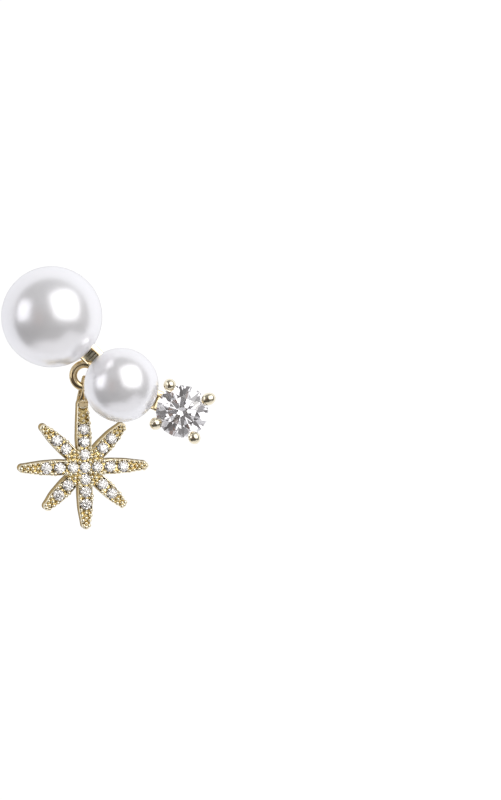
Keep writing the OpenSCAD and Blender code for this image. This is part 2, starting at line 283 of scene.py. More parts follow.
def arc(centre, radius, start, end, steps):
    """Points of a 2D arc, angles in degrees."""
    return [(centre[0] + radius * math.cos(math.radians(start + (end - start) * i / steps)),
             centre[1] + radius * math.sin(math.radians(start + (end - start) * i / steps)))
            for i in range(steps + 1)]


def circle(centre, radius, points):
    """Closed 2D circle of that many points."""
    return arc(centre, radius, 0, 360 * (points - 1) / points, points - 1)


def rounded(corners, radii, steps=5):
    """Closed 2D outline whose corners are worn to arcs of these radii."""
    outline = []
    for i, corner in enumerate(corners):
        p = Vector(corner)
        u = (Vector(corners[i - 1]) - p).normalized()
        v = (Vector(corners[(i + 1) % len(corners)]) - p).normalized()
        half = u.angle(v) / 2
        centre = p + (u + v).normalized() * (radii[i] / math.sin(half))
        first = p + u * (radii[i] / math.tan(half)) - centre
        last = p + v * (radii[i] / math.tan(half)) - centre
        start = math.atan2(first.y, first.x)
        way = (math.atan2(last.y, last.x) - start + math.pi) % (2 * math.pi) - math.pi
        for k in range(steps + 1):
            a = start + way * k / steps
            outline.append((centre.x + radii[i] * math.cos(a), centre.y + radii[i] * math.sin(a)))
    return outline


def skin(bm, rings, place, joined=False, capped=True):
    """Skin over a row of closed rings of points; joined also bridges the last to the first."""
    rows = [[bm.verts.new(place @ Vector(p)) for p in ring] for ring in rings]
    pairs = list(zip(rows, rows[1:])) + ([(rows[-1], rows[0])] if joined else [])
    for a, b in pairs:
        for i in range(len(a)):
            j = (i + 1) % len(a)
            bm.faces.new((a[i], a[j], b[j], b[i]))
    if capped and not joined:
        bm.faces.new(rows[0])
        bm.faces.new(rows[-1])


def lathe(bm, profile, place, steps=96):
    """Turned shape from (radius, height) points; a radius of 0 closes it on the axis."""
    turns = [2 * math.pi * i / steps for i in range(steps)]
    skin(bm, [[(r * math.cos(a), r * math.sin(a), h) for a in turns] for r, h in profile],
         place, capped=False)


def wire(bm, path, radii, place, steps=20):
    """Round wire through a row of points that lie in the plane of local X and Z."""
    rings = []
    side = Vector((0, 1, 0))
    for i, point in enumerate(path):
        ahead = Vector(path[min(i + 1, len(path) - 1)]) - Vector(path[max(i - 1, 0)])
        up = side.cross(ahead.normalized())
        rings.append([Vector(point) + radii[i] * (side * math.cos(a) + up * math.sin(a))
                      for a in (2 * math.pi * k / steps for k in range(steps))])
    skin(bm, rings, place)


def ball(bm, centre, radius, place, tall=1.0, steps=32):
    """Round bead, with tall its height against its width."""
    profile = [(radius * math.cos(math.radians(e)) if abs(e) < 90 else 0,
                tall * radius * math.sin(math.radians(e)))
               for e in (-90 + 180 * i / (steps // 2) for i in range(steps // 2 + 1))]
    lathe(bm, profile, place @ move(*centre), steps)


def rail(bm, outline, section, place):
    """A section of (across, height) points swept round a closed 2D outline."""
    rings = []
    for i, p in enumerate(outline):
        ahead = (Vector(outline[(i + 1) % len(outline)]) - Vector(outline[i - 1])).normalized()
        rings.append([(p[0] + ahead.y * across, p[1] - ahead.x * across, h)
                      for across, h in section])
    skin(bm, rings, place, joined=True)


def dressed(bm, name, body, finish, stands_for=(), weighted=True):
    """Closes a shape into a piece that rides on its body and wears its finish."""
    bmesh.ops.remove_doubles(bm, verts=bm.verts, dist=WELD)
    bmesh.ops.dissolve_degenerate(bm, edges=bm.edges, dist=SLIVER)
    bmesh.ops.recalc_face_normals(bm, faces=bm.faces)
    mesh = bpy.data.meshes.new(name)
    bm.to_mesh(mesh)
    bm.free()
    mesh.shade_smooth()
    mesh.set_sharp_from_angle(angle=CREASE)
    mesh.materials.append(finish)
    piece = bpy.data.objects.new(name, mesh)
    bpy.context.scene.collection.objects.link(piece)
    if weighted:
        piece.modifiers.new("even_shading", "WEIGHTED_NORMAL").keep_sharp = True
    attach(piece, body)
    if stands_for:
        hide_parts(*stands_for)
    return piece


# Shader helpers
def feed(tree, socket, value):
    """Wires a socket to another one, or sets it to a value."""
    if isinstance(value, bpy.types.NodeSocket):
        tree.links.new(value, socket)
    else:
        socket.default_value = value


def put(tree, kind, **values):
    """A node with its settings and sockets given by name."""
    made = tree.nodes.new(kind)
    for key, value in values.items():
        if hasattr(made, key) and key not in made.inputs:
            setattr(made, key, value)
        else:
            feed(tree, made.inputs[key.replace("_", " ")], value)
    return made


def maths(tree, kind, *values, node="ShaderNodeMath"):
    """A maths node over these values: numbers or, with the vector node named, vectors."""
    made = put(tree, node, operation=kind)
    for socket, value in zip(made.inputs, values):
        feed(tree, socket, value)
    return made


def spread(tree, value, low, high):
    """Takes a 0 to 1 value to another range."""
    return put(tree, "ShaderNodeMapRange", Value=value, To_Min=low,
               To_Max=high).outputs["Result"]


def eased(tree, value, start, end, low=0.0, high=1.0):
    """Takes a value's way from start to end smoothly to another range."""
    return put(tree, "ShaderNodeMapRange", interpolation_type="SMOOTHSTEP", Value=value,
               From_Min=start, From_Max=end, To_Min=low, To_Max=high).outputs["Result"]


def blend_colours(tree, mask, first, second):
    """Colour mix: the node's factor is its socket 0, and its colours are 6 and 7."""
    made = put(tree, "ShaderNodeMix", data_type="RGBA")
    for index, value in ((0, mask), (6, first), (7, second)):
        feed(tree, made.inputs[index], value)
    return made.outputs[2]


def layered(tree, colour, layers):
    """A colour with (mask, colour) layers laid over it in turn."""
    for mask, over in layers:
        colour = blend_colours(tree, mask, colour, over)
    return colour


def effect(name, inputs, outputs):
    """A shared shader effect with named sockets."""
    group = bpy.data.node_groups.new(name, "ShaderNodeTree")
    for label, default in inputs:
        group.interface.new_socket(label, in_out="INPUT",
                                   socket_type="NodeSocketFloat").default_value = default
    for label, kind in outputs:
        group.interface.new_socket(label, in_out="OUTPUT", socket_type=kind)
    return group, group.nodes.new("NodeGroupInput"), group.nodes.new("NodeGroupOutput")


def hand_polish():
    """Fine wandering lines and soft patches that a polishing wheel leaves on metal."""
    group, start, end = effect(
        "hand_polish",
        [("Grain Size", 1200.0), ("Mean Roughness", 0.15), ("Roughness Spread", 0.06)],
        [("Roughness", "NodeSocketFloat"), ("Height", "NodeSocketFloat"),
         ("Patches", "NodeSocketFloat")])
    where = put(group, "ShaderNodeTexCoord").outputs["Object"]
    patches = put(group, "ShaderNodeTexNoise", Vector=where, Scale=start.outputs["Grain Size"],
                  Detail=3.0, Roughness=0.55)
    drawn = put(group, "ShaderNodeMapping", Vector=where, Scale=(1.0, 1.0, 0.12))
    lines = put(group, "ShaderNodeTexNoise", Vector=drawn.outputs[0], Scale=14000.0, Detail=2.0)
    height = maths(group, "MULTIPLY_ADD", lines.outputs["Fac"], 0.35, patches.outputs["Fac"])
    swing = maths(group, "MULTIPLY_ADD", patches.outputs["Fac"],
                  start.outputs["Roughness Spread"], start.outputs["Mean Roughness"])
    group.links.new(swing.outputs[0], end.inputs["Roughness"])
    group.links.new(height.outputs[0], end.inputs["Height"])
    group.links.new(patches.outputs["Fac"], end.inputs["Patches"])
    return group


def handling_film():
    """Faint smears that fingers leave on pearls and stones."""
    group, start, end = effect(
        "handling_film",
        [("Smear Size", 350.0), ("Clean Roughness", 0.02), ("Smeared Roughness", 0.06)],
        [("Roughness", "NodeSocketFloat"), ("Smears", "NodeSocketFloat")])
    where = put(group, "ShaderNodeTexCoord").outputs["Object"]
    cloud = put(group, "ShaderNodeTexNoise", Vector=where, Scale=start.outputs["Smear Size"],
                Detail=4.0, Roughness=0.6, Distortion=0.6)
    smears = eased(group, cloud.outputs["Fac"], 0.45, 0.68)
    roughness = spread(group, smears, start.outputs["Clean Roughness"],
                       start.outputs["Smeared Roughness"])
    group.links.new(roughness, end.inputs["Roughness"])
    group.links.new(smears, end.inputs["Smears"])
    return group


POLISH = hand_polish()
FILM = handling_film()


def blank_finish(name):
    """A new material with its nodes and its shader."""
    finish = bpy.data.materials.new(name)
    finish.use_nodes = True
    tree = finish.node_tree
    return finish, tree, tree.nodes["Principled BSDF"]


def use(tree, group, **values):
    """A shared effect placed in a material with its own values."""
    made = tree.nodes.new("ShaderNodeGroup")
    made.node_tree = group
    for key, value in values.items():
        made.inputs[key.replace("_", " ")].default_value = value
    return made


def gold(name, pale, deep, mean, swing, grain, relief, edge_tint=(1, 1, 1, 1)):
    """Polished gold plate: two close shades in patches, wheel lines, and a soft uneven skin.
    The edge tint is its colour seen along the surface."""
    finish, tree, shader = blank_finish(name)
    polish = use(tree, POLISH, Grain_Size=grain, Mean_Roughness=mean, Roughness_Spread=swing)
    tree.links.new(blend_colours(tree, polish.outputs["Patches"], pale, deep),
                   shader.inputs["Base Color"])
    tree.links.new(polish.outputs["Roughness"], shader.inputs["Roughness"])
    bump = put(tree, "ShaderNodeBump", Height=polish.outputs["Height"], Strength=relief,
               Distance=0.00003)
    tree.links.new(bump.outputs[0], shader.inputs["Normal"])
    shader.inputs["Metallic"].default_value = 1.0
    shader.inputs["Specular Tint"].default_value = edge_tint
    return finish


def pearl_lacquer():
    """Imitation pearl: many thin pearly coats over a white bead, under a clear one."""
    finish, tree, shader = blank_finish("pearl_lacquer")
    where = put(tree, "ShaderNodeTexCoord").outputs["Object"]
    clouds = put(tree, "ShaderNodeTexNoise", Vector=where, Scale=160.0, Detail=2.0)
    tints = blend_colours(tree, clouds.outputs["Fac"], (0.965, 0.955, 0.965, 1),
                          (0.945, 0.955, 0.995, 1))
    tree.links.new(tints, shader.inputs["Base Color"])
    film = use(tree, FILM, Smear_Size=260.0, Clean_Roughness=0.28, Smeared_Roughness=0.30)
    tree.links.new(film.outputs["Roughness"], shader.inputs["Roughness"])
    skin_noise = put(tree, "ShaderNodeTexNoise", Vector=where, Scale=900.0, Detail=2.0)
    bump = put(tree, "ShaderNodeBump", Height=skin_noise.outputs["Fac"], Strength=0.015,
               Distance=0.00002)
    tree.links.new(bump.outputs[0], shader.inputs["Normal"])
    shader.inputs["Metallic"].default_value = 0.5
    shader.inputs["IOR"].default_value = 1.6
    shader.inputs["Coat Weight"].default_value = 0.3
    shader.inputs["Coat Roughness"].default_value = 0.2
    return finish


def cut_stone(name, tint_low, tint_high, foil):
    """Clear cut stone with bright facets and barely any film on them."""
    finish, tree, shader = blank_finish(name)
    film = use(tree, FILM, Smear_Size=700.0, Clean_Roughness=0.0, Smeared_Roughness=0.015)
    tree.links.new(blend_colours(tree, film.outputs["Smears"], tint_low, tint_high),
                   shader.inputs["Base Color"])
    tree.links.new(film.outputs["Roughness"], shader.inputs["Roughness"])
    shader.inputs["Transmission Weight"].default_value = 1.0
    shader.inputs["Metallic"].default_value = foil
    shader.inputs["IOR"].default_value = 2.16
    return finish


CLIMBER_GOLD = gold("climber_gold", (0.98, 0.845, 0.58, 1), (0.93, 0.785, 0.495, 1),
                    mean=0.10, swing=0.08, grain=900.0, relief=0.12)
STAR_GOLD = gold("star_gold", (1.0, 0.94, 0.74, 1), (0.98, 0.87, 0.62, 1),
                 mean=0.03, swing=0.08, grain=2600.0, relief=0.2)
# Darker, deeper gold of the sunk beds: painted shade in the recesses between beads and stones
BED_SHADE_GOLD = gold("bed_painted_shade", (0.94, 0.76, 0.38, 1), (0.68, 0.50, 0.19, 1),
                mean=0.10, swing=0.12, grain=2600.0, relief=0.3)
# Darker gold, with a darker tint seen along the surface: painted shade on the star's walls and the
# bail's left side
WALL_SHADE_GOLD = gold("wall_painted_shade", (0.70, 0.59, 0.38, 1), (0.52, 0.42, 0.25, 1),
                 mean=0.16, swing=0.12, grain=1600.0, relief=0.25,
                 edge_tint=(0.54, 0.45, 0.30, 1))
# Paler gold of the basket and claws: painted light, as they face the bright softbox at the right
BASKET_LIT_GOLD = gold("basket_painted_light", (1.0, 0.93, 0.74, 1), (0.96, 0.87, 0.65, 1),
                   mean=0.11, swing=0.08, grain=900.0, relief=0.1)
# Darker gold of the ring and the bail: painted shade, as they lie in the pearls' shade
LINK_SHADE_GOLD = gold("link_painted_shade", (0.74, 0.605, 0.38, 1), (0.59, 0.455, 0.255, 1),
                 mean=0.06, swing=0.08, grain=1400.0, relief=0.15)
# Dull gold with near-black patches: painted shade and dark reflection on the channel floor between
# the pearls
CHANNEL_SHADE_GOLD = gold("channel_painted_shade", (0.70, 0.64, 0.46, 1), (0.05, 0.04, 0.02, 1),
                    mean=0.12, swing=0.12, grain=1500.0, relief=0.3)
PEARL = pearl_lacquer()
MAIN_STONE = cut_stone("main_stone_clear", (0.97, 0.96, 0.985, 1), (0.95, 0.94, 0.97, 1),
                       foil=0.0)
# The small stones' faint warm tint is a painted reflection of the gold seats under them
SMALL_STONE = cut_stone("small_stone_clear", (1.0, 0.985, 0.96, 1), (0.99, 0.97, 0.94, 1),
                        foil=0.18)


# Pearls
def pearl(name, radius, place, node):
    """Bead with a half-drilled bore at the rear, its mouth slightly broken."""
    rear = CUP_BED + FIT_GAP
    bore = PEG_R + PEG_GAP
    bore_end = -radius + PEG_L + BORE_SPARE
    mouth_h = BORE_CHAMFER - math.sqrt(radius ** 2 - bore ** 2)
    mouth = math.degrees(math.asin((bore + BORE_CHAMFER) / radius))
    round_form = arc((0, 0), radius, -90 + mouth, 90, 88)[:-1]
    profile = [(0, bore_end), (bore, bore_end), (bore, mouth_h)] + round_form + [(0, radius)]
    bm = bmesh.new()
    lathe(bm, profile, at_face(place) @ move(0, 0, rear + radius), 128)
    dressed(bm, name, "climber", PEARL, [node], weighted=False)


pearl("large_pearl", LARGE_PEARL_R, (0, 0), "pearl_large")
pearl("small_pearl", SMALL_PEARL_R, SMALL_PEARL_AT, "pearl_small")


# Soldered metal of the climber
def cup(bm, pearl_r, cup_r, place):
    """Shallow bowl with a rolled lip, its peg and the boss that it stands on."""
    centre = CUP_BED + FIT_GAP + pearl_r
    inner, outer = pearl_r + FIT_GAP, pearl_r + FIT_GAP + CUP_WALL
    lip = CUP_WALL * LIP_SHARE
    reach = cup_r - lip
    steps = 14
    low = [(r, centre - math.sqrt(outer ** 2 - r ** 2))
           for r in (reach * i / steps for i in range(steps + 1))]
    high = [(r, centre - math.sqrt(inner ** 2 - r ** 2))
            for r in (PEG_R + (reach - PEG_R) * (steps - i) / steps for i in range(steps + 1))]
    level = (low[-1][1] + high[0][1]) / 2
    tall = (high[0][1] - low[-1][1]) / 2
    edge = [(reach + lip * math.cos(math.radians(a)), level + tall * math.sin(math.radians(a)))
            for a in range(-75, 90, 15)]
    top = CUP_BED + FIT_GAP + PEG_L
    peg = [(PEG_R, top - PEG_CHAMFER), (PEG_R - PEG_CHAMFER, top), (0, top)]
    lathe(bm, low + edge + high + peg, at_face(place))
    boss_low, boss_high = BAR_FLOOR_T - LAP, CUP_BED - LAP
    lathe(bm, [(0, boss_low), (BOSS_R, boss_low), (BOSS_R, boss_high), (0, boss_high)],
          at_face(place), 64)


def pad(bm, radius, place, low, high):
    """Round end of the bar with its edges broken."""
    inside = radius - PAD_EDGE_R
    lathe(bm, [(0, low)] + arc((inside, low + PAD_EDGE_R), PAD_EDGE_R, -90, 0, 4)
          + arc((inside, high - PAD_EDGE_R), PAD_EDGE_R, 0, 90, 4) + [(0, high)], at_face(place))


def floor_wave(s):
    """Low uneven waves along the channel's floor."""
    return FLOOR_WAVE * math.sin(9.5 * s + 0.8 * math.sin(2.1 * s))


def channel_run(bm, start, end, filled_l=0.0):
    """One straight run of the bar: a flat back, and a floor in low waves between a narrow
    round rim and a wide one that falls outwards. Over the filled length at the run's end the
    channel is closed by a step, and the metal there slopes like the wide rim."""
    w = BAR_W / 2
    low, high = w - LOW_RIM_W, HIGH_RIM_W - w
    way = Vector((end[0] - start[0], end[1] - start[1]))
    length, way = way.length, way.normalized()
    steps = round(length / SECTION_PITCH)
    step_at = length - filled_l
    rings = []
    for s in (length * i / steps for i in range(steps + 1)):
        floor = BAR_FLOOR_T + floor_wave(s)
        filled = smooth(s, step_at - FILL_STEP, step_at + FILL_STEP)
        floor += (BAR_T - FILL_SINK - floor) * filled
        deep, shallow = floor - FILL_FALL * filled, floor + FILL_FALL * filled
        walls = [min(FLOOR_EDGE_R, (BAR_T - h) * 0.4) for h in (shallow, deep)]
        corners = [(-w, 0), (w, 0), (w, BAR_T), (low, BAR_T), (low, shallow), (high, deep),
                   (high, BAR_T), (high - CREST_W, BAR_T - CREST_FALL), (-w, BAR_T - RIM_FALL)]
        radii = [BACK_EDGE_R, BACK_EDGE_R, RIM_EDGE_R,
                 min(LOW_RIM_R, BAR_T - shallow - walls[0]), *walls,
                 min(HIGH_RIM_R, BAR_T - deep - walls[1]), CREST_R, RIM_EDGE_R]
        rings.append([(start[0] + way.x * s + way.y * across,
                       start[1] + way.y * s - way.x * across, h)
                      for across, h in rounded(corners, radii)])
    skin(bm, rings, at_face((0, 0)))


def channel_bar():
    """Both runs of the bar and its round pads. Up to the small pearl the channel's floor is
    painted darker, with near-black patches: painted shade and dark reflection under the pearls."""
    bm = bmesh.new()
    channel_run(bm, (0, 0), SMALL_PEARL_AT)
    channel_run(bm, SMALL_PEARL_AT, STONE_AT, FILLED_L)
    pad(bm, LARGE_PAD_R, (0, 0), -PAD_SUNK, BAR_T + PAD_PROUD)
    pad(bm, CORNER_PAD_R, SMALL_PEARL_AT, -PAD_SUNK, BAR_T + PAD_PROUD)
    pad(bm, BASKET_PAD_R, STONE_AT, -PAD_SUNK, BAR_FLOOR_T + PAD_PROUD)
    half, rim_high = PAD_RIM_HALF, BAR_T + 2 * PAD_PROUD
    rim = rounded([(-half, PAD_RIM_LOW), (half, PAD_RIM_LOW), (half, rim_high), (-half, rim_high)],
                  PAD_RIM_EDGES)
    rail(bm, circle((0, 0), BASKET_PAD_R - half, 72), rim, at_face(STONE_AT))
    piece = dressed(bm, "channel_bar", "climber", CLIMBER_GOLD, ["climber_frame"])
    # The channel's floor up to the small pearl gets the near-black painted shade
    piece.data.materials.append(CHANNEL_SHADE_GOLD)
    for face in piece.data.polygons:
        x, y, _ = 1000 * face.center
        floor_in_painted_shade = face.normal.y < -0.9 and abs(-y - BAR_FLOOR_T) < 0.1
        if floor_in_painted_shade and x < SMALL_PEARL_AT[0]:
            face.material_index = 1


def pearl_cups():
    bm = bmesh.new()
    cup(bm, LARGE_PEARL_R, LARGE_CUP_R, (0, 0))
    cup(bm, SMALL_PEARL_R, SMALL_CUP_R, SMALL_PEARL_AT)
    dressed(bm, "pearl_cups", "climber", CLIMBER_GOLD)


def link_ring():
    """Fixed ring, soldered to the bar's lower edge."""
    bm = bmesh.new()
    wire_section = circle((0, RING_H), RING_WIRE_R, 32)
    rail(bm, circle((0, 0), RING_R, 96), wire_section, at_face(RING_AT))
    # The ring wears the darker gold as painted shade
    dressed(bm, "link_ring", "climber", LINK_SHADE_GOLD, weighted=False)


def ear_post():
    """Plain round-ended pin, with a fillet where it leaves the bar."""
    bm = bmesh.new()
    foot = POST_R + POST_FILLET
    round_end = -POST_L + POST_R
    profile = ([(0, POST_LAP), (foot, POST_LAP), (foot, 0.0)]
               + arc((foot, -POST_FILLET), POST_FILLET, 90, 180, 6)
               + [(POST_R, round_end)] + arc((0, round_end), POST_R, 0, -84, 8)
               + [(0, -POST_L)])
    lathe(bm, profile, at_face((0, 0)), 64)
    dressed(bm, "ear_post", "climber", CLIMBER_GOLD)


def claw(bm, place, longer):
    """Tapered wire that leans out to the girdle and ends in a ball pressed over the stone."""
    by_height = [(height, distance) for distance, height in CLAW_BENDS]
    low, high = by_height[0][0], by_height[-1][0]
    steps = 32
    path, radii = [], []
    for i in range(steps + 1):
        h = low + (high - low) * i / steps
        path.append((lookup(h, by_height), 0, h))
        radii.append(CLAW_WIRE_R - CLAW_TAPER * i / steps)
    wire(bm, path, radii, place)
    pressed = place @ move(CLAW_BALL_AT, 0, CLAW_BALL_H) @ Matrix.Diagonal((longer, 1, 1, 1))
    ball(bm, (0, 0, 0), CLAW_BALL_R, pressed, BALL_TALL)
    nose_at = (CLAW_BALL_AT - NOSE_IN, 0, CLAW_BALL_H - NOSE_DROP)
    ball(bm, nose_at, NOSE_R, place, NOSE_TALL, 24)


def square_rail(bm, half, w, corner_r, low, t, place):
    """Square of flat wire with rounded corners and worn edges."""
    m = half - w / 2
    outline = rounded([(m, m), (-m, m), (-m, -m), (m, -m)], [corner_r] * 4, 10)
    section = rounded([(-w / 2, low), (w / 2, low), (w / 2, low + t), (-w / 2, low + t)],
                      [RAIL_EDGE_R] * 4)
    rail(bm, outline, section, place)


def stone_basket():
    """Square gallery of two rails, and four ball-tipped claws."""
    bm = bmesh.new()
    place = at_face(STONE_AT)
    square = place @ turn(CLAW_TURN + 45, "Z")
    for size in GALLERY:
        square_rail(bm, *size, square)
    for i, longer in enumerate(BALL_STRETCH):
        claw(bm, place @ turn(CLAW_TURN + 90 * i, "Z"), longer)
    # The basket wears the paler gold as painted light
    dressed(bm, "stone_basket", "climber", BASKET_LIT_GOLD, weighted=False)


channel_bar()
pearl_cups()
link_ring()
ear_post()
stone_basket()


# Star
def stone_places():
    """Angle and distance of every small stone, the middle one first."""
    places = [(0, 0.0)]
    for arm in ARMS:
        places += [(arm.angle, arm.first + arm.pitch * i) for i in range(arm.stones)]
    return places


def arm_body_half(arm, d):
    """Half the width of an arm's straight-sided form, its bends eased."""
    table = [(0, ROOT_SHARE * ARM_W), (ARM_BELLY, BELLY_SHARE * ARM_W),
             (ARM_NECK, NECK_SHARE * ARM_W), (arm.length - arm.tip, arm.tip)]
    return sum(lookup(d + BEND_EASE * k, table) for k in range(-2, 3)) / 5


def arm_half(arm, d):
    """Half the width of an arm with its round tip."""
    into_tip = (d - (arm.length - arm.tip)) / arm.tip
    return arm_body_half(arm, d) * math.sqrt(max(0, 1 - max(0, into_tip) ** 2))


def valley_distance():
    """How far out along its axis an arm parts from the next one, to the micrometre."""
    return next(d / 1000 for d in range(1000, 2500)
                if d / 1000 * VALLEY_SLOPE > arm_body_half(ARMS[0], d / 1000))


def dome_height(d, s=0.0):
    """Height of the domed face, before it is sunk."""
    return STAR_FACE_H - DOME_R + math.sqrt(DOME_R ** 2 - d * d - s * s)


def seat_floor(seats, d, s):
    """Height of the deepest seat at a place on an arm, from the pavilions' cones. They stand
    square to the dome, so half way down they lie a little nearer to its centre."""
    nearer = 1 - SEAT_MIDDLE / DOME_R
    lowest = STAR_FACE_H
    for distance, aside in seats:
        if math.hypot(d - distance, s - aside) < SEAT_REACH:
            reach = math.hypot(d - distance * nearer, s - aside * nearer)
            level = dome_height(math.hypot(distance, aside)) - SEAT_SINK
            lowest = min(lowest, level - min(SEAT_DEEP, SEAT_STEEP * (SEAT_R - reach)))
    return lowest


def arm_face(bm, arm, valley):
    """One arm out to its tip, with the face sunk between worn edges. Where it meets its
    neighbours the arm's sides are the lines half way between them."""
    angle, length, tip, plain = arm.angle, arm.length, arm.tip, arm.plain
    inner_steps, tip_steps, across_steps = 28, 12, 26
    pitch = 0.066
    inner = [valley * i / inner_steps for i in range(inner_steps + 1)]
    straight = length - tip - valley
    straight_steps = max(8, round(straight / pitch))
    outer = [valley + straight * i / straight_steps for i in range(1, straight_steps + 1)]
    outer += [length - tip + tip * math.sin(math.radians(90 * i / tip_steps))
              for i in range(1, tip_steps + 1)]
    place = HANG_STAR @ turn(angle, "Z")
    back_place = HANG_STAR @ move(*BACK_ASIDE, 0) @ turn(angle, "Z")
    # Columns lie closer together towards the arm's edges
    closing = 84
    shares = [math.sin(math.radians(closing * (2 * i / across_steps - 1)))
              / math.sin(math.radians(closing)) for i in range(across_steps + 1)]
    seats = [(distance * math.cos(math.radians(other - angle)),
              distance * math.sin(math.radians(other - angle)))
             for other, distance in stone_places()]
    face_rows, back_rows, sides, beds = [], [], [], []
    for d in inner + outer:
        full = arm_half(arm, d)
        half = min(full, d * VALLEY_SLOPE)
        face_row, back_row, low = [], [], []
        for share in shares:
            s = half * share
            edge = full - abs(s)
            t = min(1, max(0, 1 - edge / BEVEL))
            drop = BEVEL * (1 - math.sqrt(1 - t * t))
            spot = Vector((d * HAMMER_MARKS, s * HAMMER_MARKS, angle))
            bed = (BED_DEEP + BED_UNEVEN * noise.noise(spot)) * smooth(edge, *BED_EDGE)
            if plain:
                plain_from, plain_to = (length - plain - off for off in PLAIN_FADE)
                bed *= 1 - smooth(d - s * s, plain_from, plain_to)
            level = min(dome_height(d, s) - drop - bed, seat_floor(seats, d, s))
            face_row.append((d, s, level))
            back_row.append((d, s, STAR_BACK_H + drop))
            low.append(bed > BED_SHOWS)
        face_rows.append([bm.verts.new(place @ Vector(p)) for p in face_row])
        back_rows.append([bm.verts.new(back_place @ Vector(p)) for p in back_row])
        sides.append(d >= valley - 1e-6)
        beds.append(low)
    for k in range(len(face_rows) - 1):
        for rows, flip in ((face_rows, False), (back_rows, True)):
            a, b = rows[k], rows[k + 1]
            for i in range(across_steps):
                corners = (a[i], b[i], b[i + 1], a[i + 1])
                face = bm.faces.new(corners[::-1] if flip else corners)
                # Faces sunk deeper than BED_SHOWS get the bed's painted shade
                if not flip and beds[k][i]:
                    face.material_index = 1
        # Side walls take material 2, the walls' painted shade
        if sides[k]:
            for i, flip in ((0, False), (across_steps, True)):
                corners = (back_rows[k][i], back_rows[k + 1][i],
                           face_rows[k + 1][i], face_rows[k][i])
                bm.faces.new(corners[::-1] if flip else corners).material_index = 2


def star_body():
    """Cast star: face, hammered beds and leaning walls."""
    bm = bmesh.new()
    valley = valley_distance()
    for arm in ARMS:
        arm_face(bm, arm, valley)
    piece = dressed(bm, "star_body", "star", STAR_GOLD, ["star_drop"], weighted=False)
    # The sunk bed's darker gold is painted shade
    piece.data.materials.append(BED_SHADE_GOLD)
    # The walls' darker gold is painted shade
    piece.data.materials.append(WALL_SHADE_GOLD)


def arm_grains(arm):
    """Beads on one arm: distance, how far to the side, and size against the usual one."""
    middles = [arm.first + arm.pitch * (i - 0.5) for i in range(1, arm.stones)]
    pairs = [(m, PAIR_GRAIN) for m in middles if m < ARM_BELLY]
    pairs += [(m + off, PLAIN_GRAIN) for m in middles if m > ARM_BELLY
              for off in (-PRONG_OFF, PRONG_OFF)]
    start = arm.first + arm.pitch * (arm.stones - 1) + TIP_START
    end = arm.length - arm.plain - TIP_END
    tips = [start + GRAIN_PITCH * i for i in range(int((end - start) / GRAIN_PITCH + 1e-6) + 1)]
    pairs += [(d, PLAIN_GRAIN) for d in tips]
    places = [(d, side * max(GRAIN_ASIDE, arm_half(arm, d) - GRAIN_INSET), size)
              for d, size in pairs for side in (-1, 1)]
    places += [(d + GRAIN_PITCH / 2, 0, MIDDLE_GRAIN) for d in tips[:-1]]
    return places


def star_grains():
    """Beads of metal raised round the stones and over the tips, no two of a size."""
    bm = bmesh.new()
    spots = []
    for arm in ARMS:
        spots += [(arm.angle, *bead) for bead in arm_grains(arm)]
    spots += [(angle + off, d, 0, PLAIN_GRAIN) for angle in (45, 135, 225, 315)
              for off, d in CORE_GRAINS]
    uneven = random.Random(11)
    for angle, d, s, size in spots:
        radius = GRAIN_R * size * uneven.uniform(*GRAIN_SIZES)
        place = on_dome(angle, d + uneven.uniform(-GRAIN_SHIFT, GRAIN_SHIFT), s, GRAIN_RISE)
        ball(bm, (0, 0, 0), radius, HANG_STAR @ place, uneven.uniform(*GRAIN_TALL), 18)
    for arm in ARMS:
        if not arm.plain:
            place = on_dome(arm.angle, arm.length - END_GRAIN_R)
            ball(bm, (0, 0, 0), END_GRAIN_R, HANG_STAR @ place, END_GRAIN_TALL)
    dressed(bm, "star_grains", "star", STAR_GOLD, weighted=False)


def reach_of(origin, direction, inside):
    """How far a ray from the origin goes before it leaves a 2D form."""
    low, high = 0.0, 4.0
    for _ in range(40):
        reach = (low + high) / 2
        if inside(origin[0] + direction[0] * reach, origin[1] + direction[1] * reach):
            low = reach
        else:
            high = reach
    return low


def in_round(x, y, first, second):
    """Whether a point lies in the rounded form that spans two discs of (x, y, radius), tried on
    a few of the discs between them that lie nearest."""
    along = Vector((second[0] - first[0], second[1] - first[1]))
    share = Vector((x - first[0], y - first[1])).dot(along) / along.length_squared
    for k in (-0.2, -0.1, 0, 0.1, 0.2):
        t = min(1, max(0, share + k))
        if math.hypot(x - first[0] - along.x * t, y - first[1] - along.y * t) <= (
                first[2] + (second[2] - first[2]) * t):
            return True
    return False


def bail_aside(height):
    """How far to the side the leaning bail's middle line is."""
    return BAIL_ASIDE * (height - BAIL_FOOT) / (CROWN_AT - BAIL_FOOT)


